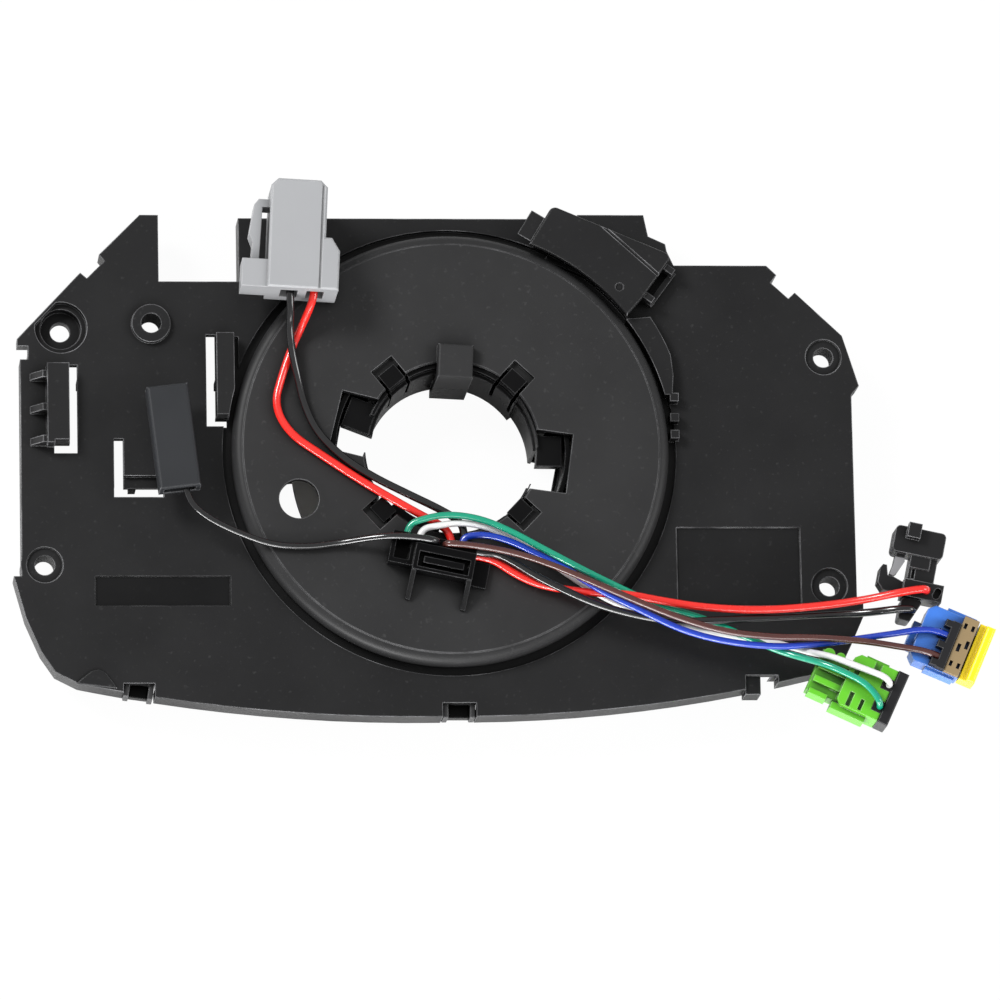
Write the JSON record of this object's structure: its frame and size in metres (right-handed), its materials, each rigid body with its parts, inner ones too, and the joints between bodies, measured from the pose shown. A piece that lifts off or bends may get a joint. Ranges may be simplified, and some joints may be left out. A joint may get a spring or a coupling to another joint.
{
  "type": "steering clock spring",
  "caption": "Moulded plate with a turning disc over a ribbon cassette that carries electric leads to a steering wheel; coloured leads end in plugs",
  "frame": {"origin": "on the steering column's axis, on the plate's front face", "axes": "+Z along the column towards the driver, +X to the right and +Y up as the unit sits in the car"},
  "size_m": [0.2207, 0.1253, 0.0345],
  "materials": {
    "body_black": "satin moulded black, glass filled",
    "disc_black": "fine spark-eroded matt black",
    "hub_black": "low-friction black, slightly waxy",
    "lid_black": "satin moulded black",
    "contact": "tin-plated contact",
    "ribbon": "polyester ribbon with flat conductors",
    "plug_grey": "pale grey moulded",
    "sleeve_dark": "dark soft moulded",
    "plug_green": "bright green moulded",
    "cap_dark": "dark grey moulded",
    "plug_blue": "mid blue moulded",
    "comb_beige": "beige moulded",
    "lock_yellow": "bright yellow moulded",
    "plug_black": "black moulded",
    "insert_grey": "light grey moulded",
    "lead_red": "smooth insulation",
    "lead_black": "smooth insulation",
    "lead_green": "smooth insulation",
    "lead_white": "smooth insulation",
    "lead_blue": "smooth insulation",
    "lead_brown": "smooth insulation"
  },
  "bodies": {
    "housing": {"mounting_plate": "body_black", "harness_pins": "contact", "box_lid": "lid_black", "rear_cover": "body_black", "flat_cable": "ribbon"},
    "rotor": {"rotor_disc": "disc_black", "rotor_hub": "hub_black", "lead_guide": "lid_black", "grey_plug": "plug_grey", "grey_terminals": "contact", "lead_sleeve": "sleeve_dark", "sleeve_terminal": "contact", "green_plug": "plug_green", "green_plug_cap": "cap_dark", "blue_plug": "plug_blue", "blue_plug_cap": "cap_dark", "blue_plug_comb": "comb_beige", "black_plug": "plug_black", "black_plug_cover": "plug_black", "black_plug_lock": "insert_grey", "red_lead_left": "lead_red", "black_lead_left": "lead_black", "sleeve_lead": "lead_black", "green_lead": "lead_green", "white_lead": "lead_white", "blue_lead": "lead_blue", "brown_lead": "lead_brown", "red_lead_right": "lead_red", "black_lead_right": "lead_black"},
    "lock": {"yellow_lock": "lock_yellow"}
  },
  "joints": [
    {"name": "rotor_spin", "type": "hinge", "parent": "housing", "child": "rotor", "pos_m": [0, 0, 0], "axis": [0, 0, 1], "range_deg": [-900, 900]},
    {"name": "lock_slide", "type": "slide", "parent": "rotor", "child": "lock", "axis": [0.9178, -0.3972, 0], "range_m": [0, 0.002]}
  ]
}
